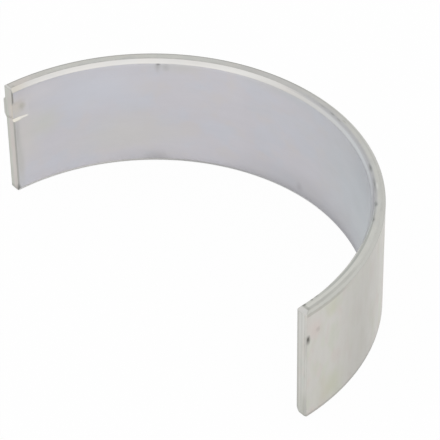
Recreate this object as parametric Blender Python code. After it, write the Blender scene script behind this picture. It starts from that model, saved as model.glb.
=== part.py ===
# Half shell of a split plain bearing for a crankshaft main journal, standing on one side face.
# Metres, +Z up. The bearing axis is vertical, the middle of the arc points to +Y and the two joint
# faces look towards -Y. The origin is the centre of the bottom of the shell's bounding box.

import math

import bmesh
import bpy
from mathutils import Matrix, Vector

# Arc and wall
housing_radius = 0.0320         # bore of the housing that the back seats in
free_spread = 0.0005            # extra width across the joint faces while the shell is loose
wall = 0.0020                   # from the back to the bore
width = 0.0184                  # along the bearing axis

# Chamfers that run round the arc on both side faces
bore_chamfer_radial = 0.0004
bore_chamfer_axial = 0.0006
back_chamfer_radial = 0.0004
back_chamfer_axial = 0.00035

# Broken edge round each joint face
joint_bevel = 0.00025

# Locating tang, pressed outwards at one joint face, and the pocket that the punch leaves behind it
tang_width = 0.0032             # along the bearing axis
tang_side_distance = 0.0026     # from the upper side face to the tang's upper flank
tang_height = 0.0006            # how far it stands proud of the back
tang_length = 0.0028            # from the joint face, measured round the arc
tang_setback = 0.00015          # keeps the tang clear of the joint plane
tang_upper_draft = 0.0001       # slope of the sheared upper flank
tang_lower_draft = 0.0005       # slope of the drawn lower flank
pocket_depth = 0.0005           # how deep the pocket is in the bore
pocket_draft = 0.00008          # slope of the pocket's flanks

# Fineness of the faceted arc and of the tang's curve
arc_steps = 112
tang_steps = 7

# Derived sizes
back_radius = housing_radius + free_spread / 2
bore_radius = back_radius - wall
half_span = math.pi / 2 * housing_radius / back_radius      # the back keeps its length round the arc
middle_angle = math.pi / 2
tang_end_angle = middle_angle + half_span
tang_top = width - tang_side_distance
tang_bottom = tang_top - tang_width
cut_over = wall / 2                                         # how far a cutter runs past what it cuts

STEEL_COLOUR = (0.60, 0.60, 0.59, 1.0)
STEEL_ROUGHNESS = 0.38


def clear_scene():
    for item in list(bpy.data.objects):
        bpy.data.objects.remove(item, do_unlink=True)


def bearing_steel():
    material = bpy.data.materials.new("bearing_steel")
    material.use_nodes = True
    shader = material.node_tree.nodes["Principled BSDF"]
    shader.inputs["Base Color"].default_value = STEEL_COLOUR
    shader.inputs["Metallic"].default_value = 1.0
    shader.inputs["Roughness"].default_value = STEEL_ROUGHNESS
    return material


def on_arc(radius, angle, height):
    """Point at a radius and an angle round the bearing axis."""
    return Vector((radius * math.cos(angle), radius * math.sin(angle), height))


def new_object(name, bm):
    bmesh.ops.recalc_face_normals(bm, faces=bm.faces)
    mesh = bpy.data.meshes.new(name)
    bm.to_mesh(mesh)
    bm.free()
    item = bpy.data.objects.new(name, mesh)
    bpy.context.scene.collection.objects.link(item)
    return item


def wall_section():
    """Radius and height of the wall's corners, once round: back, upper side, bore, lower side."""
    return [
        (back_radius, back_chamfer_axial),
        (back_radius, width - back_chamfer_axial),
        (back_radius - back_chamfer_radial, width),
        (bore_radius + bore_chamfer_radial, width),
        (bore_radius, width - bore_chamfer_axial),
        (bore_radius, bore_chamfer_axial),
        (bore_radius + bore_chamfer_radial, 0.0),
        (back_radius - back_chamfer_radial, 0.0),
    ]


def plain_shell():
    """The wall section turned through the span, closed at both ends, with its joint edges broken."""
    bm = bmesh.new()
    start_angle = middle_angle - half_span
    first = [bm.verts.new(on_arc(radius, start_angle, height)) for radius, height in wall_section()]
    outline = [bm.edges.new((first[i - 1], first[i])) for i in range(len(first))]
    turned = bmesh.ops.spin(bm, geom=first + outline, cent=(0, 0, 0), axis=(0, 0, 1),
                            angle=2 * half_span, steps=arc_steps, use_duplicate=False)
    last_edges = [item for item in turned["geom_last"] if isinstance(item, bmesh.types.BMEdge)]
    joint_faces = []
    for edges in (outline, last_edges):
        joint_faces += bmesh.ops.contextual_create(bm, geom=edges)["faces"]
    joint_edges = [edge for face in joint_faces for edge in face.edges]
    bmesh.ops.bevel(bm, geom=joint_edges, offset=joint_bevel, offset_type='OFFSET', segments=1,
                    profile=0.5, affect='EDGES')
    return new_object("bearing_shell", bm)


def loft(name, stations):
    """Closed solid through a row of four-cornered sections, each given as a list of points."""
    bm = bmesh.new()
    rings = [[bm.verts.new(point) for point in station] for station in stations]
    for ring, following in zip(rings, rings[1:]):
        for i in range(len(ring)):
            bm.faces.new((ring[i - 1], ring[i], following[i], following[i - 1]))
    bm.faces.new(rings[0])
    bm.faces.new(rings[-1])
    item = new_object(name, bm)
    item.display_type = 'WIRE'
    item.hide_render = True
    return item


def pressed_profile():
    """Distance from the joint face and share of the full height, along a quarter of an ellipse."""
    turns = [i / tang_steps * math.pi / 2 for i in range(tang_steps + 1)]
    return [(tang_length * math.sin(turn), math.cos(turn)) for turn in turns]


def pressed_section(distance, foot_radius, crest_radius, lower_draft, upper_draft):
    """One section across the tang or its pocket, at a distance round the arc from the joint face."""
    angle = tang_end_angle - distance / back_radius
    return [
        on_arc(foot_radius, angle, tang_bottom),
        on_arc(crest_radius, angle, tang_bottom + lower_draft),
        on_arc(crest_radius, angle, tang_top - upper_draft),
        on_arc(foot_radius, angle, tang_top),
    ]


def tang():
    """The part of the tang that stands proud of the back, rooted in the middle of the wall."""
    stations = []
    for distance, share in pressed_profile():
        crest = back_radius + tang_height * share
        stations.append(pressed_section(max(distance, tang_setback), back_radius - wall / 2, crest,
                                        tang_lower_draft, tang_upper_draft))
    return loft("tang_form", stations)


def tang_pocket():
    """The hollow in the bore behind the tang, open at the joint face."""
    profile = [(-cut_over, 1.0)] + pressed_profile()
    stations = [pressed_section(distance, bore_radius - cut_over, bore_radius + pocket_depth * share,
                                pocket_draft, pocket_draft) for distance, share in profile]
    return loft("tang_pocket_cutter", stations)


def add_boolean(target, tool, operation):
    modifier = target.modifiers.new(tool.name, 'BOOLEAN')
    modifier.object = tool
    modifier.operation = operation
    modifier.solver = 'EXACT'
    tool.parent = target


def stand_on_origin(item):
    """Moves an object so that the bottom centre of its bounding box is at the origin."""
    bpy.context.view_layer.update()
    evaluated = item.evaluated_get(bpy.context.evaluated_depsgraph_get())
    corners = [Vector(corner) for corner in evaluated.bound_box]
    low = Vector([min(corner[axis] for corner in corners) for axis in range(3)])
    high = Vector([max(corner[axis] for corner in corners) for axis in range(3)])
    item.location = Vector((-(low.x + high.x) / 2, -(low.y + high.y) / 2, -low.z))


def bearing_shell():
    shell = plain_shell()
    add_boolean(shell, tang(), 'UNION')
    add_boolean(shell, tang_pocket(), 'DIFFERENCE')
    shell.data.materials.append(bearing_steel())
    shell.data.shade_smooth()
    shell.data.set_sharp_from_angle(angle=math.radians(20))
    stand_on_origin(shell)
    return shell


clear_scene()
bearing_shell()
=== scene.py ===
import math

import bpy
from mathutils import Matrix, Vector


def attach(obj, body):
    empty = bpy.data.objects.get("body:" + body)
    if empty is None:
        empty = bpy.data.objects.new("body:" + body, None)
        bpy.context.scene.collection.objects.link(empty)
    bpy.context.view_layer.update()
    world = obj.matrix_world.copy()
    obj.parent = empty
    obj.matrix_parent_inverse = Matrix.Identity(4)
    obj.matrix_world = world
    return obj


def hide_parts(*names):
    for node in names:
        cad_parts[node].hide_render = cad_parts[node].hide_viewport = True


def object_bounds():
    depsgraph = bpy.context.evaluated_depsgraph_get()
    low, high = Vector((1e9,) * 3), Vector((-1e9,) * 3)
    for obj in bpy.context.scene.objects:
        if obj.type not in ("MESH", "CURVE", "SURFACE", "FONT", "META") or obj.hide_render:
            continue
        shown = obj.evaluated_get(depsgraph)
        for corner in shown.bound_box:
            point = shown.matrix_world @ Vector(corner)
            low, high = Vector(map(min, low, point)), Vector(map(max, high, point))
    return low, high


# Half shell of a split crankshaft bearing, standing on one side face.
# The strip is laid out flat, its edges are cut and the tang is pressed, and then it is rolled to the arc.

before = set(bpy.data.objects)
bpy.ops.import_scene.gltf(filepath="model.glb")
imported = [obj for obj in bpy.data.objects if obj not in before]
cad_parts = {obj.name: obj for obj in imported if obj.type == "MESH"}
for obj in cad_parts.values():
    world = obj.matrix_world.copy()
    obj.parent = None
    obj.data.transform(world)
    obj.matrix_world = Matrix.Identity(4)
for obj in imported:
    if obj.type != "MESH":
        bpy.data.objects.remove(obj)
cadLow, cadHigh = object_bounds()
mm = 0.001
print("frame loaded:", sorted(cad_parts), "height", round(cadHigh.z / mm, 2), "mm")


# Helpers for the node trees

def addNode(tree, kind, inputs=None, **settings):
    made = tree.nodes.new(kind)
    for name, value in settings.items():
        setattr(made, name, value)
    for key, value in (inputs or {}).items():
        if isinstance(value, bpy.types.NodeSocket):
            tree.links.new(value, made.inputs[key])
        else:
            made.inputs[key].default_value = value
    return made


def nodeOut(tree, kind, inputs=None, **settings):
    return addNode(tree, kind, inputs, **settings).outputs[0]


def calc(tree, operation, first, second=0.0):
    return nodeOut(tree, "ShaderNodeMath", {0: first, 1: second}, operation=operation)


def product(tree, first, *others):
    for other in others:
        first = calc(tree, "MULTIPLY", first, other)
    return first


def vectorCalc(tree, operation, first, second=(0.0, 0.0, 0.0), result="Vector"):
    made = addNode(tree, "ShaderNodeVectorMath", {0: first, 1: second}, operation=operation)
    return made.outputs[result]


def ramp(tree, value, low, high, start, end, kind="LINEAR"):
    ends = {"Value": value, "From Min": low, "From Max": high, "To Min": start, "To Max": end}
    return addNode(tree, "ShaderNodeMapRange", ends, interpolation_type=kind).outputs["Result"]


def window(tree, value, low, lowFull, highFull, high, kind="SMOOTHSTEP", past=0.0):
    # rises from 0 to 1 over the first two places, and falls to past over the last two
    return calc(tree, "MINIMUM", ramp(tree, value, low, lowFull, 0.0, 1.0, kind),
                ramp(tree, value, highFull, high, 1.0, past, kind))


def newTree(name, kind, inputs, outputs):
    # sockets are given as name: (kind of socket, value that it starts with)
    tree = bpy.data.node_groups.new(name, kind)
    for direction, sockets in (("INPUT", inputs), ("OUTPUT", outputs)):
        for label, (socketKind, start) in sockets.items():
            socket = tree.interface.new_socket(label, in_out=direction, socket_type="NodeSocket" + socketKind)
            if start is not None:
                socket.default_value = start
    return tree, tree.nodes.new("NodeGroupInput").outputs, tree.nodes.new("NodeGroupOutput").inputs


# Sizes of the shell in mm. Lengths run along the strip from the tang's end, heights from the lower side face.
shellSizes = {
    "Strip Length": math.pi * 32.0,     # half the round of the housing's bore
    "Wall": 2.0,
    "Back Radius": 32.25,
    "Bore Chamfer Depth": 0.46,
    "Bore Chamfer Height": 0.62,
    "Upper Chamfer Swell": 0.08,        # how much wider the upper one is cut on part of the arc
    "Swell Start": 52.0,
    "Swell Full": 69.0,
    "Swell Fade": 79.0,
    "Swell End": 88.0,                  # from here it is cut narrower, by Shrink times the swell
    "Shrink Fade": 91.0,
    "Shrink End": 96.0,                 # and from here by once the swell
    "Lower Chamfer Narrowing": 0.12,    # how much lower the lower one is cut on part of the arc
    "Narrowing Start": 47.5,
    "Narrowing Full": 59.0,
    "Narrowing Fade": 80.0,
    "Narrowing End": 96.0,
    "Back Chamfer Depth": 0.4,
    "Back Chamfer Height": 0.35,
    "Tang End Bore Break": 0.18,        # broken edges between the joint faces and the bore
    "Plain End Bore Break": 0.36,
    "Back Break": 0.22,                 # broken edge between a joint face and the back
    "Tang End Side Break Height": 0.2,  # broken edges between the joint faces and the side faces
    "Tang End Side Break Length": 0.3,
    "Plain End Side Break Height": 0.34,
    "Plain End Side Break Length": 0.75,
    "Plain End Foot Break Height": 0.46,    # the lower one of the two is cut higher
    "Foot Corner Height": 1.3,          # rounded lower corner of the plain end, on the bore side
    "Foot Corner Length": 0.9,
    "Blunting": 0.016,                  # how much is rubbed off every worked edge
    "Tang Length": 2.8,
    "Tang Height": 0.48,
    "Tang Bottom": 12.5,
    "Tang Lower Flank": 0.8,
    "Tang Top": 16.05,
    "Tang Upper Flank": 0.5,
    "Pocket Depth": 0.36,
    "Pocket Bottom": 12.66,
    "Pocket Lower Flank": 0.38,
    "Pocket Top": 16.3,
    "Pocket Upper Flank": 1.1,
    "Shear Line Width": 0.14,           # where the punch parted the tang, a fine line across the joint face
    "Shear Line Depth": 0.08,
    "Shear Line Height": 13.72,         # height where it would meet the bore
    "Shear Line Start": 0.25,
    "Shear Line Start Fade": 0.1,
    "Shear Line End": 1.5,
    "Shear Line End Fade": 0.2,
    "Shear Line Reach": 0.01,           # how far it runs along the strip
    "Merge Distance": 0.002,
    "Worked Edge Reach": 0.001,         # points this near to one lie on it
}
shell = {
    **{name: size * mm for name, size in shellSizes.items()},
    "Width": cadHigh.z - cadLow.z,
    "Shrink": 2.0,
    "Lowered Rows": 5.0,                # chamfer heights up to which the bore's rows follow the lower chamfer
    "Foot Corner Slope": 0.95,
    "Least Flank": 0.3,                 # the lower flanks narrow as the tang fades, down to this share
    "Pocket Rise": 0.09,                # how the pocket's lower flank climbs along the strip
    "Pocket Fade": 0.65,                # how the pocket thins out along the strip, a power of what is left
    "Shear Line Slope": -0.51,          # change of height for each step away from the bore
    "Worked Edge Bend": math.radians(20),   # edges that bend by more than this are worked edges
}

# How finely the strip is divided
mesh = {
    "coarse": 0.5 * mm,
    "aroundTang": 0.12 * mm,
    "pastTangEnd": 0.3 * mm,            # how far the fine rows run on past the tang along the strip
    "pastTangSide": 0.1 * mm,           # and past its flanks
    "aroundMark": 0.09 * mm,
    "dimpleLow": 13.2 * mm,             # heights between which the rows are fine for the dimple
    "dimpleHigh": 14.5 * mm,
    "edgeRow": 0.055 * mm,              # rows that run beside every worked edge
    "acrossWall": 16,
    "breakRows": 4,
    "sameRow": 7,                       # decimals of a metre to which two rows count as one
    "stepSlack": 0.01,                  # share of a step that a span may be too long
}

# Marks struck in the surface, in mm: place as length, depth from the bore and height, reach each way, and
# how deep
marks = {
    "dimpleByPlainEnd": ((100.12, 2.0, 13.72), (0.34, 0.5, 0.76), 0.12),
    "firstNick": ((67.27, 0.66, 18.4), (0.80, 0.24, 0.3), 0.08),
    "secondNick": ((70.9, 0.64, 18.4), (1.30, 0.22, 0.3), 0.06),
    "thirdNick": ((75.42, 0.72, 18.4), (0.50, 0.28, 0.3), 0.09),
    "fourthNick": ((78.72, 0.66, 18.4), (0.45, 0.26, 0.3), 0.08),
}

finishNames = ["lining", "backSkin", "sideFace", "jointFace", "boreChamfer", "backChamfer", "boreBreak",
               "backBreak", "sideBreak"]


def stations(length, fixed, fineSpots):
    # rising places from 0 to length, closer together inside each (low, high, step) spot
    inside = [place for place in fixed if 0 < place < length]
    inside += [edge for spot in fineSpots for edge in spot[:2] if 0 < edge < length]
    cuts = sorted({round(place, mesh["sameRow"]) for place in [0.0, length, *inside]})
    places = [0.0]
    for low, high in zip(cuts, cuts[1:]):
        middle = (low + high) / 2
        step = min([mesh["coarse"]] + [fine for start, end, fine in fineSpots if start < middle < end])
        count = max(1, math.ceil((high - low) / step - mesh["stepSlack"]))
        places += [low + (high - low) * i / count for i in range(1, count + 1)]
    return places


def breakSteps(end):
    # where the rows of a side break lie, as heights down from the side face and lengths from the joint face
    rows = mesh["breakRows"]
    height, length = shell[end + " End Side Break Height"], shell[end + " End Side Break Length"]
    return [height * i / rows for i in range(rows + 1)], [length * (1 - i / rows) for i in range(rows + 1)]


def lengthStations():
    length, beside = shell["Strip Length"], mesh["edgeRow"]
    fixed = [beside]
    for cut in (shell["Tang End Bore Break"], shell["Plain End Bore Break"], shell["Back Break"]):
        fixed += [cut - beside, cut, cut + beside]
    fixed += [length - place for place in fixed]
    fixed += breakSteps("Tang")[1] + [length - place for place in breakSteps("Plain")[1]]
    spots = [(0.0, shell["Tang Length"] + mesh["pastTangEnd"], mesh["aroundTang"])]
    for place, reach, _ in marks.values():
        spots.append(((place[0] - reach[0]) * mm, (place[0] + reach[0]) * mm, mesh["aroundMark"]))
    return stations(length, fixed, spots)


def heightStations():
    width, beside = shell["Width"], mesh["edgeRow"]
    fixed = breakSteps("Tang")[0] + breakSteps("Plain")[0] + [beside]
    for name in ("Bore", "Back"):
        cut = shell[name + " Chamfer Height"]
        fixed += [cut / 2, cut - beside, cut, cut + beside]
    fixed += [width - place for place in fixed]
    fixed += [shell["Pocket Bottom"], shell["Pocket Bottom"] + shell["Pocket Lower Flank"]]
    fixed += [shell["Pocket Top"], shell["Pocket Top"] - shell["Pocket Upper Flank"]]
    fine, past = mesh["aroundTang"] / 2, mesh["pastTangSide"]
    spots = [(shell["Tang Bottom"] - past, shell["Shear Line Height"], fine),
             (shell["Tang Top"] - shell["Tang Upper Flank"], shell["Tang Top"] + past, fine),
             (mesh["dimpleLow"], mesh["dimpleHigh"], mesh["aroundMark"])]
    return stations(width, fixed, spots)


def wallStations():
    # shares of the wall from bore to back, with a close row at either side
    rows, beside = mesh["acrossWall"], mesh["edgeRow"] / shell["Wall"]
    return [0.0] + [beside + (1 - 2 * beside) * i / rows for i in range(rows + 1)] + [1.0]


def finishOf(axis, end, length, height):
    # which finish a face of the flat strip gets, from the side it lies on and its middle
    fromPlainEnd = shell["Strip Length"] - length
    fromSide = min(height, shell["Width"] - height)
    if axis == 0:
        return "jointFace"
    if axis == 2:
        broken = (length < shell["Tang End Side Break Length"]
                  or fromPlainEnd < shell["Plain End Side Break Length"])
        return "sideBreak" if broken else "sideFace"
    if end:
        if min(length, fromPlainEnd) < shell["Back Break"]:
            return "backBreak"
        return "backChamfer" if fromSide < shell["Back Chamfer Height"] else "backSkin"
    if length < shell["Tang End Bore Break"] or fromPlainEnd < shell["Plain End Bore Break"]:
        return "boreBreak"
    return "boreChamfer" if fromSide < shell["Bore Chamfer Height"] else "lining"


def flatStrip():
    # closed box of quads: X along the strip, Y the share of the wall from bore to back, Z the height
    spans = (lengthStations(), wallStations(), heightStations())
    last = [len(span) - 1 for span in spans]
    points, known, faces, faceFinish = [], {}, [], []

    def pointAt(place):
        if place not in known:
            known[place] = len(points)
            points.append([span[i] for span, i in zip(spans, place)])
        return known[place]

    for axis in range(3):
        first, second = (axis + 1) % 3, (axis + 2) % 3
        for end in (0, last[axis]):
            for i in range(last[first]):
                for j in range(last[second]):
                    corners = []
                    for stepI, stepJ in ((0, 0), (1, 0), (1, 1), (0, 1)):
                        place = [0, 0, 0]
                        place[axis], place[first], place[second] = end, i + stepI, j + stepJ
                        corners.append(pointAt(tuple(place)))
                    faces.append(corners if end else corners[::-1])
                    middle = [sum(points[corner][k] for corner in corners) / 4 for k in range(3)]
                    faceFinish.append(finishNames.index(finishOf(axis, end, middle[0], middle[2])))
    data = bpy.data.meshes.new("flatStrip")
    data.from_pydata(points, [], faces)
    data.attributes.new("finish", "INT", "FACE").data.foreach_set("value", faceFinish)
    strip = bpy.data.objects.new("flatStrip", data)
    bpy.context.scene.collection.objects.link(strip)
    print("strip laid out:", len(spans[0]), "x", len(spans[2]), "rows,", len(faces), "faces")
    return strip


def dentTree():
    # how deep a mark is at a point of the strip: full at its place, nothing past its reach
    tree, given, made = newTree("dent", "GeometryNodeTree",
                                {"Point": ("Vector", None), "Place": ("Vector", None),
                                 "Reach": ("Vector", (1, 1, 1)), "Depth": ("Float", 0.0)},
                                {"Depth": ("Float", 0.0)})
    away = vectorCalc(tree, "SUBTRACT", given["Point"], given["Place"])
    far = vectorCalc(tree, "LENGTH", vectorCalc(tree, "DIVIDE", away, given["Reach"]), result="Value")
    tree.links.new(ramp(tree, far, 0.0, 1.0, given["Depth"], 0.0, "SMOOTHSTEP"), made["Depth"])
    return tree


def rollTree(materials):
    # cuts the edges of the flat strip, presses the tang and its pocket, and rolls the strip round the axis
    sizes = {label: ("Float", value) for label, value in shell.items()}
    tree, given, made = newTree("rollShell", "GeometryNodeTree",
                                {"Strip": ("Geometry", None), "Axis": ("Vector", None), **sizes},
                                {"Rolled Strip": ("Geometry", None)})
    position = nodeOut(tree, "GeometryNodeInputPosition")
    length, share, height = addNode(tree, "ShaderNodeSeparateXYZ", {0: position}).outputs
    fromPlainEnd = calc(tree, "SUBTRACT", given["Strip Length"], length)
    fromEnd = calc(tree, "MINIMUM", length, fromPlainEnd)

    # the side faces drop towards each joint face, where their edge is broken
    def sideDrop(fromJoint, end, part):
        return ramp(tree, fromJoint, 0.0, given[end + " End Side Break Length"],
                    given[end + " End " + part + " Break Height"], 0.0)

    tangDrop = sideDrop(length, "Tang", "Side")
    plainDrop = sideDrop(fromPlainEnd, "Plain", "Side")
    footDrop = sideDrop(fromPlainEnd, "Plain", "Foot")
    upperDrop = calc(tree, "MAXIMUM", tangDrop, plainDrop)
    lowerDrop = calc(tree, "MAXIMUM", tangDrop, footDrop)
    z = calc(tree, "MINIMUM", calc(tree, "MAXIMUM", height, lowerDrop),
             calc(tree, "SUBTRACT", given["Width"], upperDrop))
    fromSide = calc(tree, "MINIMUM", z, calc(tree, "SUBTRACT", given["Width"], z))

    # the tang fades out along the strip as the root of what is left of its length
    left = calc(tree, "SUBTRACT", 1.0, calc(tree, "DIVIDE", length, given["Tang Length"]))
    left = calc(tree, "MAXIMUM", left, 0.0)
    pressed = calc(tree, "SQRT", left)

    def band(name, low):
        flankShare = calc(tree, "MAXIMUM", pressed, given["Least Flank"])
        lowFull = calc(tree, "ADD", low, product(tree, given[name + " Lower Flank"], flankShare))
        high = given[name + " Top"]
        highFull = calc(tree, "SUBTRACT", high, given[name + " Upper Flank"])
        return window(tree, z, low, lowFull, highFull, high)

    lug = product(tree, band("Tang", given["Tang Bottom"]), pressed, given["Tang Height"])
    climb = product(tree, length, given["Pocket Rise"])
    pocketBand = band("Pocket", calc(tree, "ADD", given["Pocket Bottom"], climb))
    pocketShare = product(tree, pocketBand, calc(tree, "POWER", left, given["Pocket Fade"]))
    pocket = product(tree, pocketShare, given["Pocket Depth"])

    # depth of the bore side and of the back, both measured from the bore
    shrink = product(tree, given["Shrink"], -1.0)
    swell = window(tree, length, given["Swell Start"], given["Swell Full"], given["Swell Fade"],
                   given["Swell End"], past=shrink)
    settled = ramp(tree, length, given["Shrink Fade"], given["Shrink End"], shrink, -1.0, "SMOOTHSTEP")
    swell = calc(tree, "MAXIMUM", swell, settled)
    upper = calc(tree, "GREATER_THAN", z, product(tree, given["Width"], 0.5))
    swell = product(tree, swell, upper, given["Upper Chamfer Swell"])
    narrow = window(tree, length, given["Narrowing Start"], given["Narrowing Full"],
                    given["Narrowing Fade"], given["Narrowing End"])
    narrow = product(tree, narrow, given["Lower Chamfer Narrowing"], calc(tree, "SUBTRACT", 1.0, upper))
    chamferTop = given["Bore Chamfer Height"]
    narrowShare = calc(tree, "DIVIDE", narrow, chamferTop)
    swell = calc(tree, "SUBTRACT", swell, product(tree, narrowShare, given["Bore Chamfer Depth"]))
    chamferDepth = calc(tree, "ADD", given["Bore Chamfer Depth"], swell)
    boreChamfer = ramp(tree, fromSide, 0.0, chamferTop, chamferDepth, 0.0)
    tangBreak, plainBreak = given["Tang End Bore Break"], given["Plain End Bore Break"]
    boreBreak = product(tree, ramp(tree, length, 0.0, tangBreak, tangBreak, 0.0),
                        calc(tree, "SUBTRACT", 1.0, pocketShare))
    boreBreak = calc(tree, "MAXIMUM", boreBreak, ramp(tree, fromPlainEnd, 0.0, plainBreak, plainBreak, 0.0))
    cornerLeft = ramp(tree, fromPlainEnd, 0.0, given["Foot Corner Length"], given["Foot Corner Height"], 0.0)
    corner = product(tree, calc(tree, "SUBTRACT", cornerLeft, z), given["Foot Corner Slope"])
    boreCut = calc(tree, "MAXIMUM", calc(tree, "MAXIMUM", boreChamfer, boreBreak), corner)
    boreSide = calc(tree, "ADD", boreCut, pocket)
    backChamfer = ramp(tree, fromSide, 0.0, given["Back Chamfer Height"], given["Back Chamfer Depth"], 0.0)
    backBreak = ramp(tree, fromEnd, 0.0, given["Back Break"], given["Back Break"], 0.0)
    backSide = calc(tree, "SUBTRACT", given["Wall"], calc(tree, "MAXIMUM", backChamfer, backBreak))
    backSide = calc(tree, "ADD", backSide, lug)
    depth = ramp(tree, share, 0.0, 1.0, boreSide, backSide)

    # a fine groove across the joint face, where the punch parted the tang from it
    shearDrop = product(tree, depth, given["Shear Line Slope"])
    shearHeight = calc(tree, "ADD", given["Shear Line Height"], shearDrop)
    fromShear = calc(tree, "ABSOLUTE", calc(tree, "SUBTRACT", z, shearHeight))
    halfShear = product(tree, given["Shear Line Width"], 0.5)
    shear = ramp(tree, fromShear, 0.0, halfShear, given["Shear Line Depth"], 0.0)
    shearStart = calc(tree, "SUBTRACT", given["Shear Line Start"], given["Shear Line Start Fade"])
    shearEnd = calc(tree, "ADD", given["Shear Line End"], given["Shear Line End Fade"])
    shear = product(tree, shear, ramp(tree, depth, given["Shear Line End"], shearEnd, 1.0, 0.0),
                    ramp(tree, depth, shearStart, given["Shear Line Start"], 0.0, 1.0),
                    ramp(tree, length, 0.0, given["Shear Line Reach"], 1.0, 0.0))
    cutLength = calc(tree, "ADD", length, shear)

    # where the lower chamfer is narrower, the rows by the bore come down with it
    rowsTop = product(tree, chamferTop, given["Lowered Rows"])
    rowShare = window(tree, z, 0.0, chamferTop, chamferTop, rowsTop, "LINEAR")
    rowDrop = product(tree, narrow, rowShare, calc(tree, "SUBTRACT", 1.0, share))
    loweredZ = calc(tree, "SUBTRACT", z, rowDrop)
    cut = nodeOut(tree, "ShaderNodeCombineXYZ", {0: cutLength, 1: depth, 2: loweredZ})
    kept = nodeOut(tree, "GeometryNodeStoreNamedAttribute",
                   {"Geometry": given["Strip"], "Name": "strip", "Value": cut},
                   data_type="FLOAT_VECTOR", domain="POINT")

    # rolled about the bearing axis, with the middle of the strip towards +Y
    strip = nodeOut(tree, "GeometryNodeInputNamedAttribute", {"Name": "strip"}, data_type="FLOAT_VECTOR")
    along, thick, up = addNode(tree, "ShaderNodeSeparateXYZ", {0: strip}).outputs
    halfLength = product(tree, given["Strip Length"], 0.5)
    turn = calc(tree, "DIVIDE", calc(tree, "SUBTRACT", halfLength, along), given["Back Radius"])
    angle = calc(tree, "ADD", turn, math.pi / 2)
    radius = calc(tree, "ADD", calc(tree, "SUBTRACT", given["Back Radius"], given["Wall"]), thick)
    x = product(tree, radius, calc(tree, "COSINE", angle))
    y = product(tree, radius, calc(tree, "SINE", angle))
    onArc = nodeOut(tree, "ShaderNodeCombineXYZ", {0: x, 1: y, 2: up})
    placed = vectorCalc(tree, "ADD", onArc, given["Axis"])
    rolled = nodeOut(tree, "GeometryNodeSetPosition", {"Geometry": kept, "Position": placed})
    closed = nodeOut(tree, "GeometryNodeMergeByDistance",
                     {"Geometry": rolled, "Distance": given["Merge Distance"]})

    # the marks go in along the surface's own normal
    dent, total = dentTree(), None
    for place, reach, markDepth in marks.values():
        one = nodeOut(tree, "GeometryNodeGroup",
                      {"Point": strip, "Place": [part * mm for part in place],
                       "Reach": [part * mm for part in reach], "Depth": markDepth * mm},
                      node_tree=dent)
        total = one if total is None else calc(tree, "ADD", total, one)
    normal = nodeOut(tree, "GeometryNodeInputNormal")

    def inwards(distance):
        return nodeOut(tree, "ShaderNodeVectorMath", {0: normal, "Scale": product(tree, distance, -1.0)},
                       operation="SCALE")

    marked = nodeOut(tree, "GeometryNodeSetPosition", {"Geometry": closed, "Offset": inwards(total)})

    # how far each point is from the nearest worked edge, for the finishes
    bend = addNode(tree, "GeometryNodeInputMeshEdgeAngle").outputs["Unsigned Angle"]
    flatEdge = nodeOut(tree, "FunctionNodeCompare", {"A": bend, "B": given["Worked Edge Bend"]},
                       operation="LESS_THAN")
    edges = nodeOut(tree, "GeometryNodeDeleteGeometry", {"Geometry": marked, "Selection": flatEdge},
                    domain="EDGE")
    near = addNode(tree, "GeometryNodeProximity", {"Target": edges}, target_element="EDGES")
    near = near.outputs["Distance"]
    marked = nodeOut(tree, "GeometryNodeStoreNamedAttribute",
                     {"Geometry": marked, "Name": "edge", "Value": near},
                     data_type="FLOAT", domain="POINT")

    # every worked edge is blunted a little
    onEdge = nodeOut(tree, "FunctionNodeCompare", {"A": near, "B": given["Worked Edge Reach"]},
                     operation="LESS_THAN")
    rubbed = inwards(given["Blunting"])
    marked = nodeOut(tree, "GeometryNodeSetPosition",
                     {"Geometry": marked, "Selection": onEdge, "Offset": rubbed})

    result = nodeOut(tree, "GeometryNodeRealizeInstances", {"Geometry": marked})
    finish = nodeOut(tree, "GeometryNodeInputNamedAttribute", {"Name": "finish"}, data_type="INT")
    for number, name in enumerate(finishNames):
        chosen = nodeOut(tree, "FunctionNodeCompare", {"A": finish, "B": number}, data_type="INT",
                         operation="EQUAL")
        result = nodeOut(tree, "GeometryNodeSetMaterial",
                         {"Geometry": result, "Selection": chosen, "Material": materials[name]})
    tree.links.new(result, made["Rolled Strip"])
    return tree


def rolledShell(materials):
    strip = flatStrip()
    roll = strip.modifiers.new("roll", "NODES")
    roll.node_group = rollTree(materials)
    # the axis stands so that the rolled strip fills the frame's box
    endTurn = math.pi / 2 - (shell["Strip Length"] / 2 - shell["Back Break"]) / shell["Back Radius"]
    axis = (cadHigh.x - shell["Back Radius"] * math.cos(endTurn), cadHigh.y - shell["Back Radius"], 0.0)
    values = {"Axis": axis, **shell}
    for socket in roll.node_group.interface.items_tree:
        if socket.in_out == "INPUT" and socket.name in values:
            roll[socket.identifier] = values[socket.name]
    bpy.context.view_layer.update()
    graph = bpy.context.evaluated_depsgraph_get()
    data = bpy.data.meshes.new_from_object(strip.evaluated_get(graph), preserve_all_data_layers=True,
                                           depsgraph=graph)
    data.name = "rolledShell"
    data.shade_smooth()
    bpy.data.objects.remove(strip)
    piece = bpy.data.objects.new("rolledShell", data)
    bpy.context.scene.collection.objects.link(piece)
    # wide faces keep their own direction, so only the narrow rows beside the edges look rounded
    weighted = piece.modifiers.new("edgeShading", "WEIGHTED_NORMAL")
    weighted.weight = 50
    print("shell rolled:", len(data.vertices), "points", len(data.polygons), "faces")
    return piece


# Finishes. Colours are sRGB steps out of 255, as they should look in a plain light.

def linear(steps):
    # the usual curve from sRGB to linear light
    return [((part / 255 + 0.055) / 1.055) ** 2.4 for part in steps] + [1.0]


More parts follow.
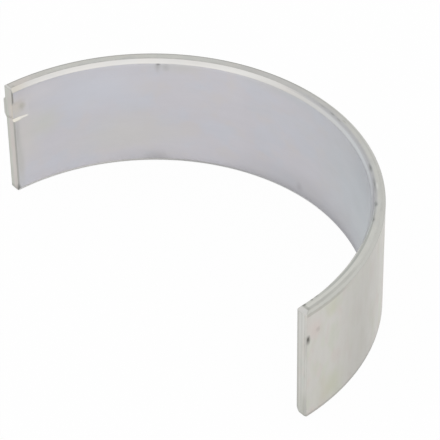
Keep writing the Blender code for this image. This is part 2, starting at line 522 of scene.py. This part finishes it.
# What each finish is made of. Sizes are in mm: cloud and grain are the sizes of the soft patches and of the
# fine grain along the strip, through the wall and up it; edge is the width of the darker band along the
# worked edges, partly wear and partly painted shade. A look says only what differs from plainLook.
plainLook = {
    "warmShare": 0.5, "coolShare": 0.5, "grainTone": 0.04, "bump": 0.1, "edge": 0.1, "edgeShare": 0.4,
    "specks": 0.2,
}
looks = {
    "lining": {
        "colour": (214, 212, 217), "warm": (217, 213, 213), "cool": (210, 213, 221), "warmShare": 0.55,
        "cloud": (5.0, 5.0, 3.4), "roughness": (0.36, 0.46), "grain": (1.1, 0.5, 0.26), "grainTone": 0.022,
        "edge": 0.16, "edgeColour": (180, 180, 180), "edgeShare": 0.5, "specks": 0.15,
    },
    "backSkin": {
        "colour": (216, 214, 209), "warm": (216, 207, 201), "cool": (209, 212, 198), "coolShare": 0.55,
        "cloud": (1.9, 2.0, 4.0), "roughness": (0.36, 0.48), "grain": (0.16, 0.3, 0.9), "grainTone": 0.03,
        "bump": 0.12, "edgeColour": (180, 179, 172), "edgeShare": 0.25, "specks": 0.3,
    },
    "sideFace": {
        "colour": (194, 194, 189), "warm": (198, 194, 188), "cool": (186, 188, 186),
        "cloud": (3.0, 2.0, 2.0), "roughness": (0.34, 0.46), "grain": (0.6, 0.28, 0.3), "grainTone": 0.07,
        "edge": 0.24, "edgeColour": (150, 150, 146), "edgeShare": 0.5, "specks": 0.3,
    },
    "jointFace": {
        "colour": (214, 213, 208), "warm": (215, 209, 203), "cool": (205, 209, 202), "warmShare": 0.6,
        "coolShare": 0.6, "cloud": (1.5, 1.2, 3.0), "roughness": (0.36, 0.48), "grain": (1.0, 0.17, 12.0),
        "grainTone": 0.1, "bump": 0.14, "edge": 0.16, "edgeColour": (176, 176, 168), "edgeShare": 0.6,
        "specks": 0.3,
    },
    "boreChamfer": {
        "colour": (209, 207, 204), "warm": (213, 208, 203), "cool": (205, 206, 206), "warmShare": 0.4,
        "coolShare": 0.3, "cloud": (4.0, 2.0, 2.0), "roughness": (0.28, 0.36), "grain": (2.5, 0.08, 0.08),
        "grainTone": 0.03, "bump": 0.08, "edge": 0.08, "edgeColour": (196, 196, 194), "edgeShare": 0.6,
        "specks": 0.15,
    },
    "backChamfer": {
        "colour": (197, 197, 191), "warm": (199, 194, 187), "cool": (190, 192, 187), "warmShare": 0.4,
        "coolShare": 0.4, "cloud": (4.0, 2.0, 2.0), "roughness": (0.32, 0.42), "grain": (2.0, 0.08, 0.08),
        "bump": 0.08, "edge": 0.13, "edgeColour": (160, 160, 154), "edgeShare": 0.6,
    },
    "boreBreak": {
        "colour": (182, 181, 177), "warm": (188, 184, 178), "cool": (172, 173, 171),
        "cloud": (1.0, 1.0, 2.5), "roughness": (0.38, 0.48), "grain": (0.1, 0.1, 1.0), "edge": 0.05,
        "edgeColour": (160, 160, 157),
    },
    "backBreak": {
        "colour": (216, 214, 209), "warm": (217, 212, 205), "cool": (207, 209, 203),
        "cloud": (1.0, 1.0, 2.5), "roughness": (0.34, 0.44), "grain": (0.1, 0.1, 3.0),
        "edgeColour": (182, 182, 175),
    },
    "sideBreak": {
        "colour": (204, 203, 200), "warm": (208, 203, 198), "cool": (197, 199, 195),
        "cloud": (1.0, 0.6, 1.0), "roughness": (0.32, 0.42), "grain": (0.5, 0.08, 0.3),
        "edgeColour": (168, 168, 164),
    },
}
looks = {name: {**plainLook, **look} for name, look in looks.items()}

# Tinted patches and patches of painted light and shade, round and soft, and bands of both kinds, which keep
# their full tone over their middle half. Each has the finishes that it shows on, its centre and reach in mm
# as length, depth from the bore and height, its colour as sRGB steps and how much of it shows.
patches = {
    "blueLeft": ("lining", (13, 0, 14), (13, 4, 6.0), (215, 217, 225), 0.8),
    "warmLeft": ("lining", (18, 0, 5.5), (14, 4, 5.5), (216, 214, 213), 0.9),
    "warmByTheTang": ("lining", (2, 0, 10), (4.5, 4, 8), (218, 215, 213), 0.9),
    "greyUnderTheChamfer": ("lining", (26, 0, 17.6), (6, 4, 2.0), (210, 209, 208), 0.7),
    "dullUnderTheChamfer": ("lining", (43, 0, 17.9), (11, 4, 2.0), (204, 205, 203), 0.55),
    "coolRight": ("lining", (68, 0, 9), (24, 4, 30), (204, 210, 213), 0.85),
    "paleUpperRight": ("lining", (78.5, 0, 16.5), (6, 4, 4.5), (220, 227, 222), 0.8),
    # painted shade: the lower part of the bore darker towards the foot, where it would reflect the shaded
    # floor inside the arc
    "footShade": ("lining", (52, 0, 0), (30, 4, 7.0), (196, 196, 200), 0.8),
    "footShadeLeft": ("lining", (22, 0, 0), (10, 4, 3.2), (194, 192, 194), 0.6),
    "footEdgeShade": ("lining", (58, 0, 0), (36, 4, 2.5), (164, 163, 167), 0.62),
    "smudgeByTheFoot": ("lining", (47.3, 0, 2.0), (1.0, 4, 1.1), (172, 170, 174), 0.4),
    "dullByTheJoint": ("lining", (0.6, 0, 6), (1.3, 4, 9), (203, 202, 198), 0.7),
    "greyStreak": ("lining", (23.4, 0, 17.4), (0.7, 4, 1.6), (186, 186, 187), 0.65),
    "greyBesideTheStreak": ("lining", (24.6, 0, 17.2), (1.0, 4, 1.0), (192, 192, 192), 0.6),
    "darkStreakEnd": ("lining", (23.5, 0, 17.7), (0.55, 4, 0.4), (140, 139, 140), 0.8),
    "greyMarkByTheFoot": ("lining", (22.9, 0, 0.8), (2.6, 4, 1.9), (176, 174, 176), 0.4),
    "pocketBeige": ("lining", (0.7, 0.3, 14.9), (2.2, 3, 3.0), (217, 211, 202), 0.85),
    "pocketBrown": ("lining", (1.7, 0.2, 14.8), (0.9, 3, 1.1), (190, 187, 176), 0.75),
    "greenishByTheLedge": ("lining", (5.5, 0, 10.5), (4, 4, 4), (213, 214, 206), 0.55),
    "plainBack": ("backSkin", (38, 2, 9.2), (52, 6, 200), (213, 211, 205), 0.7),
    "greenishBack": ("backSkin", (95.5, 2, 3.0), (4.5, 4, 3.6), (207, 208, 190), 0.7),
    "shadedBack": ("backSkin", (88, 2, 8), (9, 4, 40), (200, 198, 193), 0.8),
    "mauveBack": ("backSkin", (98.9, 2, 15.2), (2.2, 4, 2.6), (220, 211, 206), 0.8),
    "greenishByTheChamfer": ("backSkin", (95.8, 2, 16.4), (1.8, 4, 2.2), (208, 208, 191), 0.7),
    "faintSpot": ("backSkin", (98.37, 2, 14.58), (0.6, 3, 0.7), (196, 188, 183), 0.7),
    # painted light and shade on the side face: brighter towards the plain end and darker over its middle, for
    # how the light falls along it
    "litSideEnd": ("sideFace", (97, 1, 18.4), (27, 4, 2), (205, 205, 199), 0.8),
    "shadedSideMiddle": ("sideFace", (44, 1, 18.4), (20, 4, 2), (185, 184, 182), 0.7),
    "pinkSideEnd": ("sideFace", (2.5, 1, 18.4), (3.5, 4, 2), (200, 193, 188), 0.7),
    # a cooler tone on the upper bore chamfer towards the plain end, partly painted shade
    "coolTintAndShadeOnChamfer": ("boreChamfer", (68, 0, 18.4), (24, 4, 3), (199, 203, 206), 0.9),
    "greyChamferEnd": ("boreChamfer", (81.5, 0, 18.4), (8, 4, 3), (219, 225, 220), 0.9),
    # painted light on the upper bore chamfer near its middle
    "paleChamfer": ("boreChamfer", (38, 0, 18.4), (10, 4, 3), (229, 228, 225), 0.75),
    "dullChamferEnd": ("boreChamfer", (0.8, 0, 18.4), (2.6, 4, 3), (209, 204, 194), 0.8),
    "dullJointFoot": ("jointFace", (100.5, 1.7, 1.5), (2, 1.6, 6), (199, 199, 190), 0.7),
    "paleJointTop": ("jointFace", (100.5, 1.0, 16.2), (2, 1.8, 3.4), (220, 220, 217), 0.75),
    "dullBreakFoot": ("backBreak jointFace", (100.4, 2.0, 1.6), (1, 0.9, 4.4), (176, 176, 170), 0.45),
    "dullBreakMiddle": ("backBreak", (100.4, 2.0, 12.0), (1, 1, 2.6), (184, 184, 179), 0.4),
    "dullTangFoot": ("jointFace", (0, 1.0, 2.2), (2, 2.6, 5.5), (180, 180, 177), 0.35),
    "paleLiningTop": ("lining", (4.5, 0, 16.4), (6, 4, 3), (224, 222, 225), 0.5),
    "dullByTheBreak": ("lining", (0.4, 0, 10.8), (0.8, 4, 3.2), (186, 184, 182), 0.4),
    "dullJointTop": ("jointFace", (0, 0.8, 15.6), (2, 1.5, 2.8), (203, 199, 195), 0.6),
}
bands = {
    # painted shade along the outer rim of the side face, where its rounded edge would reflect the darker
    # surroundings behind
    "shadedOuterRim": ("sideFace", (8, 1.60, 18.4), (76, 0.24, 1), (150, 150, 145), 0.7),
    "paleRim": ("sideFace backChamfer", (70, 1.8, 18.4), (28, 0.5, 1.2), (194, 194, 189), 0.75),
    # the same painted shade of the rim towards the plain end
    "shadedEndRim": ("sideFace", (95.2, 1.52, 18.4), (8, 0.40, 1), (156, 156, 151), 0.48),
    "dullRimEnd": ("sideFace", (91, 1.72, 18.4), (6, 0.5, 1), (188, 188, 182), 0.55),
    "darkCornerLine": ("sideFace", (99.82, 1, 18.4), (0.6, 3, 1), (150, 150, 145), 0.5),
    "darkInnerLine": ("sideFace", (77, 0.62, 18.4), (26, 0.20, 1), (146, 151, 147), 0.55),
    "paleChamferFoot": ("lining boreChamfer", (78, 0.1, 17.74), (9, 1, 0.26), (224, 230, 232), 0.5),
    "dullChamferTop": ("boreChamfer sideFace", (62, 0.62, 18.4), (20, 0.36, 1), (178, 178, 180), 0.8),
    "greenOuterHalf": ("jointFace", (0, 1.85, 6), (2, 0.9, 13), (204, 207, 198), 0.6),
    "pinkInnerHalf": ("jointFace", (0, 0.45, 6), (2, 0.8, 12), (216, 209, 205), 0.7),
    "darkJointRim": ("jointFace", (0, 1.95, 9.2), (2, 0.42, 20), (184, 186, 176), 0.7),
    "plainJointLine": ("jointFace", (100.5, 0.55, 9.2), (2, 0.26, 20), (188, 188, 182), 0.5),
    "secondJointLine": ("jointFace", (100.5, 1.18, 9.2), (2, 0.24, 20), (196, 196, 190), 0.5),
    # a darker band on the back under its upper chamfer, partly painted shade
    "darkUnderTheChamfer": ("backSkin", (98, 2, 18.02), (7, 1, 0.5), (176, 175, 167), 0.55),
    "palePocketMouth": ("boreBreak jointFace", (0, 0.2, 14.3), (1, 0.55, 1.8), (218, 212, 203), 0.95),
    # painted highlight on the pocket's upward-facing lower ledge
    "ledgeHighlight": ("lining boreBreak", (0.3, 0.2, 12.84), (1.25, 1, 0.24), (240, 235, 222), 0.8),
    "ledgeHighlightEnd": ("lining", (1.6, 0.2, 12.94), (1.2, 1, 0.20), (234, 231, 222), 0.7),
    "darkBreakTop": ("boreBreak", (0, 0.1, 16.9), (2, 2, 1.2), (146, 144, 140), 0.75),
    "paleTang": ("jointFace", (0, 2.2, 14.2), (2, 0.6, 2.0), (211, 210, 206), 0.75),
    # painted shadow along the foot of the back, its break and the joint faces, where the shell stands on the
    # floor
    "footShadow": ("backSkin backBreak jointFace", (50, 1, 0.3), (120, 5, 0.56), (160, 160, 154), 0.35),
    "paleInnerFoot": ("boreChamfer", (0, 1, 0), (24, 5, 1.6), (226, 225, 223), 0.7),
    # painted shade on the lower bore chamfer, which faces down to the floor
    "innerFootShade": ("boreChamfer", (60, 1, 0), (45, 5, 1.6), (184, 184, 188), 0.7),
    # painted shade on the lower back chamfer and side breaks, which face the floor
    "undersideShade": ("backChamfer sideBreak", (50, 1, 0), (120, 5, 1.4), (165, 165, 160), 0.6),
}
# dirt in the marks and along the edges, a darker line along the bore's lower edge, and painted shade along
# the shear line, round and soft, over the bands
dirtAndShade = {
    "firstDash": ("sideFace boreChamfer", (53.7, 0.71, 18.4), (0.85, 0.22, 1), (132, 136, 130), 0.55),
    "secondDash": ("sideFace boreChamfer", (55.4, 0.65, 18.4), (0.8, 0.20, 1), (138, 140, 132), 0.5),
    "faintDash": ("sideFace", (51.4, 0.72, 18.4), (1.2, 0.24, 1), (158, 158, 154), 0.5),
    "outerDash": ("sideFace", (56.1, 1.12, 18.4), (0.7, 0.22, 1), (152, 153, 144), 0.5),
    "firstNickDirt": ("sideFace boreChamfer", (67.3, 0.64, 18.4), (1.3, 0.31, 1), (120, 123, 120), 0.68),
    "secondNickDirt": ("sideFace boreChamfer", (70.9, 0.63, 18.4), (2.3, 0.28, 1), (124, 127, 125), 0.6),
    "paleByTheNick": ("sideFace", (71.4, 0.95, 18.4), (1.2, 0.24, 1), (215, 216, 212), 0.6),
    "thirdNickDirt": ("sideFace boreChamfer", (75.42, 0.71, 18.4), (0.85, 0.40, 1), (112, 116, 115), 0.62),
    "fourthNickDirt": ("sideFace boreChamfer", (78.72, 0.66, 18.4), (0.7, 0.34, 1), (116, 119, 117), 0.55),
    "dotNearTheEnd": ("sideFace boreChamfer", (98.0, 0.45, 18.4), (0.36, 0.26, 1), (104, 104, 100), 0.7),
    "dotFurtherIn": ("sideFace boreChamfer", (97.0, 0.42, 18.4), (0.6, 0.22, 1), (118, 118, 114), 0.6),
    "dotAtTheCorner": ("sideFace boreChamfer", (99.4, 0.48, 18.4), (0.5, 0.3, 1), (96, 96, 92), 0.75),
    "lineTowardsTheEnd": ("sideFace boreChamfer", (94.2, 0.42, 18.4), (1.9, 0.22, 1), (150, 150, 146), 0.15),
    "darkDotBySide": ("sideFace", (0.75, 0.6, 18.4), (0.4, 0.4, 1), (124, 120, 114), 0.3),
    # darker along the lower edge of the bore
    "darkLowerEdge": ("lining boreChamfer", (59, 0, 0.3), (10, 4, 0.5), (120, 120, 124), 0.6),
    "darkLowerCorner": ("boreBreak jointFace lining", (0.1, 0.1, 0.6), (0.5, 0.5, 1.1), (112, 112, 110), 0.6),
    "dimpleDirt": ("backSkin backBreak", (100.10, 2, 13.70), (0.50, 1, 1.10), (100, 100, 94), 0.95),
    # painted shade along the shear line across the joint face, under the tang
    "shearShadeFoot": ("jointFace", (0, 1.38, 12.86), (2, 0.44, 0.24), (184, 180, 174), 0.75),
    "shearShadeMiddle": ("jointFace", (0, 0.95, 13.06), (2, 0.46, 0.26), (180, 176, 170), 0.75),
    "shearShadeTop": ("jointFace", (0, 0.52, 13.3), (2, 0.4, 0.24), (186, 181, 175), 0.65),
}


# Settings of the shader groups. Detail and offset belong to a noise, and no two noises share an offset; step
# is the size that its place is divided by; low and high are the values between which a mask fades in.
clouding = {"detail": 3.0, "warmOffset": 11.3, "coolOffset": 57.9, "low": 0.46, "high": 0.66}
graining = {"detail": 4.0, "offset": 3.1, "wideStep": (4.0, 4.0, 4.0), "wideDetail": 2.0, "wideOffset": 23.7}
wearAndShading = {
    "detail": 3.0, "step": (0.5, 0.8, 0.8), "offset": 5.5, "low": 0.3, "high": 0.7,
    "least": 0.6, "most": 1.5,          # how far the edge band reaches, in its own widths
    "gapStep": (1.1, 1.5, 1.5), "gapOffset": 31.0, "gapLow": 0.38, "gapHigh": 0.58,
    "gapShare": 0.35,                   # how much of it is left where it is broken
}
specking = {"scale": 0.9, "full": 0.03, "reach": 0.09, "without": 0.62}   # share of cells without a speck
patching = {
    "full": 0.5,                        # share of a square patch's reach that keeps its full tone
    "step": (0.7, 0.7, 0.7), "detail": 2.0, "offset": 8.8,
    "uneven": 0.3,                      # how far the rim of a round one wanders, in reaches
}
finishing = {
    "glossy": 0.3, "dull": 0.8,         # cloud and grain at which the roughness has its two ends
    "pitDepth": 0.6, "bumpHeight": 0.02 * mm,
}
offsetAxes = (1.0, 0.7, -1.0)           # the way that a noise's offset moves its place


def shaderTree(name, inputs, outputs):
    return newTree(name, "ShaderNodeTree", inputs, outputs)


def scaled(tree, place, sizes):
    # a place measured in steps of the given sizes
    return vectorCalc(tree, "DIVIDE", place, sizes)


def mixed(tree, share, first, second, blend="MIX"):
    # sockets 6 and 7 and output 2 are the ones for colours
    return addNode(tree, "ShaderNodeMix", {0: share, 6: first, 7: second}, data_type="RGBA",
                   blend_type=blend).outputs[2]


def noise(tree, place, detail, offset):
    moved = vectorCalc(tree, "ADD", place, [offset * part for part in offsetAxes])
    return nodeOut(tree, "ShaderNodeTexNoise",
                   {"Vector": moved, "Scale": 1.0, "Detail": detail, "Roughness": 0.5})


def cloudGroup():
    # soft warm and cool patches over a plain colour
    tree, given, made = shaderTree("tintClouds", {
        "Place": ("Vector", None), "Patch Size": ("Vector", (1, 1, 1)), "Plain": ("Color", None),
        "Warm": ("Color", None), "Cool": ("Color", None), "Warm Share": ("Float", 0.5),
        "Cool Share": ("Float", 0.5),
    }, {"Colour": ("Color", None), "Cloud": ("Float", None)})
    place = scaled(tree, given["Place"], given["Patch Size"])

    def cloud(offset):
        return noise(tree, place, clouding["detail"], offset)

    def mask(clouds, share):
        shown = ramp(tree, clouds, clouding["low"], clouding["high"], 0.0, 1.0, "SMOOTHSTEP")
        return product(tree, shown, share)

    warm, cool = cloud(clouding["warmOffset"]), cloud(clouding["coolOffset"])
    tinted = mixed(tree, mask(warm, given["Warm Share"]), given["Plain"], given["Warm"])
    tinted = mixed(tree, mask(cool, given["Cool Share"]), tinted, given["Cool"])
    tree.links.new(tinted, made["Colour"])
    tree.links.new(warm, made["Cloud"])
    return tree


def grainGroup():
    # fine grain left by the last cut, from -0.5 to 0.5, drawn out along one direction
    tree, given, made = shaderTree("cutGrain",
                                   {"Place": ("Vector", None), "Grain Size": ("Vector", (1, 1, 1))},
                                   {"Grain": ("Float", None), "Coarse": ("Float", None)})
    place = scaled(tree, given["Place"], given["Grain Size"])
    fine = noise(tree, place, graining["detail"], graining["offset"])
    wide = noise(tree, scaled(tree, place, graining["wideStep"]), graining["wideDetail"],
                 graining["wideOffset"])
    tree.links.new(calc(tree, "SUBTRACT", fine, 0.5), made["Grain"])
    tree.links.new(calc(tree, "SUBTRACT", wide, 0.5), made["Coarse"])
    return tree


def edgeGroup():
    # darker band along the worked edges, partly wear and partly painted shade of the rounded edges, ragged
    # and broken in places
    tree, given, made = shaderTree("edgeWearAndShade", {
        "Place": ("Vector", None), "Edge Distance": ("Float", 1.0), "Band": ("Float", 0.1),
    }, {"Mask": ("Float", None)})
    uneven = noise(tree, scaled(tree, given["Place"], wearAndShading["step"]), wearAndShading["detail"], wearAndShading["offset"])
    ragged = ramp(tree, uneven, wearAndShading["low"], wearAndShading["high"], wearAndShading["least"], wearAndShading["most"])
    reach = product(tree, given["Band"], ragged)
    line = ramp(tree, given["Edge Distance"], 0.0, reach, 1.0, 0.0, "SMOOTHSTEP")
    gaps = noise(tree, scaled(tree, given["Place"], wearAndShading["gapStep"]), wearAndShading["detail"],
                 wearAndShading["gapOffset"])
    broken = ramp(tree, gaps, wearAndShading["gapLow"], wearAndShading["gapHigh"], wearAndShading["gapShare"], 1.0)
    tree.links.new(product(tree, line, broken), made["Mask"])
    return tree


def speckGroup():
    # scattered tiny pits and dust
    tree, given, made = shaderTree("specks", {"Place": ("Vector", None)}, {"Mask": ("Float", None)})
    cells = addNode(tree, "ShaderNodeTexVoronoi",
                    {"Vector": given["Place"], "Scale": specking["scale"], "Randomness": 1.0}).outputs
    near = ramp(tree, cells["Distance"], specking["full"], specking["reach"], 1.0, 0.0, "SMOOTHSTEP")
    parts = addNode(tree, "ShaderNodeSeparateColor", {0: cells["Color"]}).outputs
    chosen = calc(tree, "GREATER_THAN", parts[0], specking["without"])
    tree.links.new(product(tree, near, chosen), made["Mask"])
    return tree


def patchGroup(name, square):
    # one soft patch round a centre: either round, or square with its full tone over the middle half
    tree, given, made = shaderTree(name, {
        "Place": ("Vector", None), "Centre": ("Vector", None), "Reach": ("Vector", (1, 1, 1)),
    }, {"Mask": ("Float", None)})
    away = vectorCalc(tree, "SUBTRACT", given["Place"], given["Centre"])
    far = scaled(tree, away, given["Reach"])
    if square:
        sides = addNode(tree, "ShaderNodeSeparateXYZ", {0: vectorCalc(tree, "ABSOLUTE", far)}).outputs
        distance = calc(tree, "MAXIMUM", calc(tree, "MAXIMUM", sides[0], sides[1]), sides[2])
        full = patching["full"]
    else:
        distance = vectorCalc(tree, "LENGTH", far, result="Value")
        spot = scaled(tree, vectorCalc(tree, "ADD", far, given["Centre"]), patching["step"])
        uneven = noise(tree, spot, patching["detail"], patching["offset"])
        uneven = ramp(tree, uneven, 0.0, 1.0, -patching["uneven"], patching["uneven"])
        distance = calc(tree, "ADD", distance, uneven)
        full = 0.0
    tree.links.new(ramp(tree, distance, full, 1.0, 1.0, 0.0, "SMOOTHSTEP"), made["Mask"])
    return tree


groups = {"clouds": cloudGroup(), "grain": grainGroup(), "edge": edgeGroup(), "specks": speckGroup(),
          "patch": patchGroup("softPatch", False), "band": patchGroup("softBand", True)}


def placeGroup(tree, name, inputs):
    return addNode(tree, "ShaderNodeGroup", inputs, node_tree=groups[name]).outputs


def makeFinish(name, look):
    material = bpy.data.materials.new(name)
    material.use_nodes = True
    tree = material.node_tree
    surface = tree.nodes["Principled BSDF"]
    surface.inputs["Metallic"].default_value = 1.0

    # places on the strip in mm, and the distance to the nearest worked edge
    strip = addNode(tree, "ShaderNodeAttribute", attribute_name="strip").outputs["Vector"]
    place = scaled(tree, strip, (mm, mm, mm))
    edge = addNode(tree, "ShaderNodeAttribute", attribute_name="edge").outputs["Fac"]
    edge = calc(tree, "DIVIDE", edge, mm)

    clouds = placeGroup(tree, "clouds", {
        "Place": place, "Patch Size": look["cloud"], "Plain": linear(look["colour"]),
        "Warm": linear(look["warm"]), "Cool": linear(look["cool"]),
        "Warm Share": look["warmShare"], "Cool Share": look["coolShare"],
    })
    # the edge band is partly wear and partly painted shade, and the specks take its colour
    wornAndShaded = placeGroup(tree, "edge", {"Place": place, "Edge Distance": edge, "Band": look["edge"]})["Mask"]
    edgeAndSpeckColour = linear(look["edgeColour"])
    tone = mixed(tree, product(tree, wornAndShaded, look["edgeShare"]), clouds["Colour"], edgeAndSpeckColour)
    for kind, tints in (("patch", patches), ("band", bands), ("patch", dirtAndShade)):
        for finishes, centre, reach, tint, share in tints.values():
            if name in finishes.split():
                mask = placeGroup(tree, kind, {"Place": place, "Centre": centre, "Reach": reach})["Mask"]
                tone = mixed(tree, product(tree, mask, share), tone, linear(tint))

    grain = placeGroup(tree, "grain", {"Place": place, "Grain Size": look["grain"]})
    lift = calc(tree, "ADD", grain["Grain"], grain["Coarse"])
    level = calc(tree, "ADD", product(tree, lift, look["grainTone"] * 2), 1.0)
    shade = nodeOut(tree, "ShaderNodeCombineColor", {0: level, 1: level, 2: level})
    tone = mixed(tree, 1.0, tone, shade, "MULTIPLY")

    specks = placeGroup(tree, "specks", {"Place": place})["Mask"]
    tone = mixed(tree, product(tree, specks, look["specks"]), tone, edgeAndSpeckColour)
    tree.links.new(tone, surface.inputs["Base Color"])

    low, high = look["roughness"]
    dulled = calc(tree, "ADD", clouds["Cloud"], grain["Grain"])
    rough = ramp(tree, dulled, finishing["glossy"], finishing["dull"], low, high)
    tree.links.new(rough, surface.inputs["Roughness"])
    height = calc(tree, "SUBTRACT", lift, product(tree, specks, finishing["pitDepth"]))
    bump = addNode(tree, "ShaderNodeBump", {"Height": height, "Strength": look["bump"],
                                            "Distance": finishing["bumpHeight"]})
    tree.links.new(bump.outputs[0], surface.inputs["Normal"])
    return material


materials = {name: makeFinish(name, look) for name, look in looks.items()}
piece = rolledShell(materials)
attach(piece, "root")
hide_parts("bearing_shell")

# Studio: a white floor, a white surround and one wide soft panel in front
studio = {
    "floorSize": 2.0,
    "floorColour": (0.85, 0.85, 0.85, 1.0),
    "floorGlow": 0.97,              # how much of the floor shows as plain white to the camera
    "floorSeen": 0.45,              # and how much of it to the metal, which sees the shell's shadow on it
    "footReach": 0.12 * mm,         # how far the dark line under the shell's lower edges reaches
    "surround": 0.9,                # light on the floor
    "surroundSeen": 1.0,            # what the metal shows of the surround
}
panels = {
    "frontPanel": {"azimuth": 58, "elevation": 25, "distance": 1.0, "width": 2.2, "height": 0.7,
                   "radiance": 0.30},
}


def makeFloor():
    half = studio["floorSize"] / 2
    data = bpy.data.meshes.new("floor")
    corners = [(-half, -half, 0), (half, -half, 0), (half, half, 0), (-half, half, 0)]
    data.from_pydata(corners, [], [(0, 1, 2, 3)])
    floor = bpy.data.objects.new("floor", data)
    bpy.context.scene.collection.objects.link(floor)
    material = bpy.data.materials.new("floorPaper")
    material.use_nodes = True
    tree = material.node_tree
    tree.nodes.clear()
    paper = nodeOut(tree, "ShaderNodeBsdfDiffuse", {"Color": studio["floorColour"]})
    glow = nodeOut(tree, "ShaderNodeEmission", {"Color": (1, 1, 1, 1), "Strength": 1.0})
    ray = addNode(tree, "ShaderNodeLightPath").outputs
    reflected = calc(tree, "MAXIMUM", ray["Is Glossy Ray"], ray["Is Transmission Ray"])
    share = calc(tree, "MAXIMUM", product(tree, ray["Is Camera Ray"], studio["floorGlow"]),
                 product(tree, reflected, studio["floorSeen"]))
    foot = addNode(tree, "ShaderNodeAmbientOcclusion", {"Distance": studio["footReach"]}).outputs["AO"]
    mix = nodeOut(tree, "ShaderNodeMixShader", {0: product(tree, share, foot), 1: paper, 2: glow})
    addNode(tree, "ShaderNodeOutputMaterial", {"Surface": mix})
    data.materials.append(material)


def makeSurround():
    world = bpy.data.worlds.new("surround")
    bpy.context.scene.world = world
    world.use_nodes = True
    tree = world.node_tree
    tree.nodes.clear()
    ray = addNode(tree, "ShaderNodeLightPath").outputs
    seen = calc(tree, "MAXIMUM", ray["Is Glossy Ray"], ray["Is Transmission Ray"])
    metal = ramp(tree, seen, 0.0, 1.0, studio["surround"], studio["surroundSeen"])
    strength = calc(tree, "MAXIMUM", metal, ray["Is Camera Ray"])
    light = nodeOut(tree, "ShaderNodeBackground", {"Color": (1, 1, 1, 1), "Strength": strength})
    addNode(tree, "ShaderNodeOutputWorld", {"Surface": light})


def direction(azimuth, elevation):
    turn, rise = math.radians(azimuth), math.radians(elevation)
    return Vector((math.sin(turn) * math.cos(rise), -math.cos(turn) * math.cos(rise), math.sin(rise)))


def makePanel(name, panel):
    light = bpy.data.lights.new(name, "AREA")
    light.shape = "RECTANGLE"
    light.size = panel["width"]
    light.size_y = panel["height"]
    light.energy = panel["radiance"] * math.pi * panel["width"] * panel["height"]
    lamp = bpy.data.objects.new(name, light)
    bpy.context.scene.collection.objects.link(lamp)
    lamp.visible_camera = False
    away = direction(panel["azimuth"], panel["elevation"])
    lamp.location = away * panel["distance"]
    lamp.rotation_mode = "QUATERNION"
    lamp.rotation_quaternion = away.to_track_quat("Z", "Y")


view = {
    "azimuth": 50.58,
    "elevation": 39.683,
    "roll": -0.913,
    "distance": 382.15 * mm,
    "target": (-1.588 * mm, -1.744 * mm, 4.8375 * mm),
    "lens": 223.39,
    "sensor": 36.0,
    "clipStart": 10 * mm,
}


def makeCamera():
    data = bpy.data.cameras.new("camera")
    data.lens = view["lens"]
    data.sensor_width = view["sensor"]
    data.clip_start = view["clipStart"]
    camera = bpy.data.objects.new("camera", data)
    bpy.context.scene.collection.objects.link(camera)
    back = direction(view["azimuth"], view["elevation"])
    turn = math.radians(view["azimuth"])
    right = Vector((math.cos(turn), math.sin(turn), 0))
    up = back.cross(right)
    roll = math.radians(view["roll"])
    rolledRight = right * math.cos(roll) + up * math.sin(roll)
    rolledUp = up * math.cos(roll) - right * math.sin(roll)
    place = Vector(view["target"]) + back * view["distance"]
    columns = Matrix((rolledRight, rolledUp, back)).transposed().to_4x4()
    camera.matrix_world = Matrix.Translation(place) @ columns
    bpy.context.scene.camera = camera


makeFloor()
makeSurround()
for name, panel in panels.items():
    makePanel(name, panel)
makeCamera()
bpy.context.scene.view_settings.view_transform = "Standard"
print("studio set up")
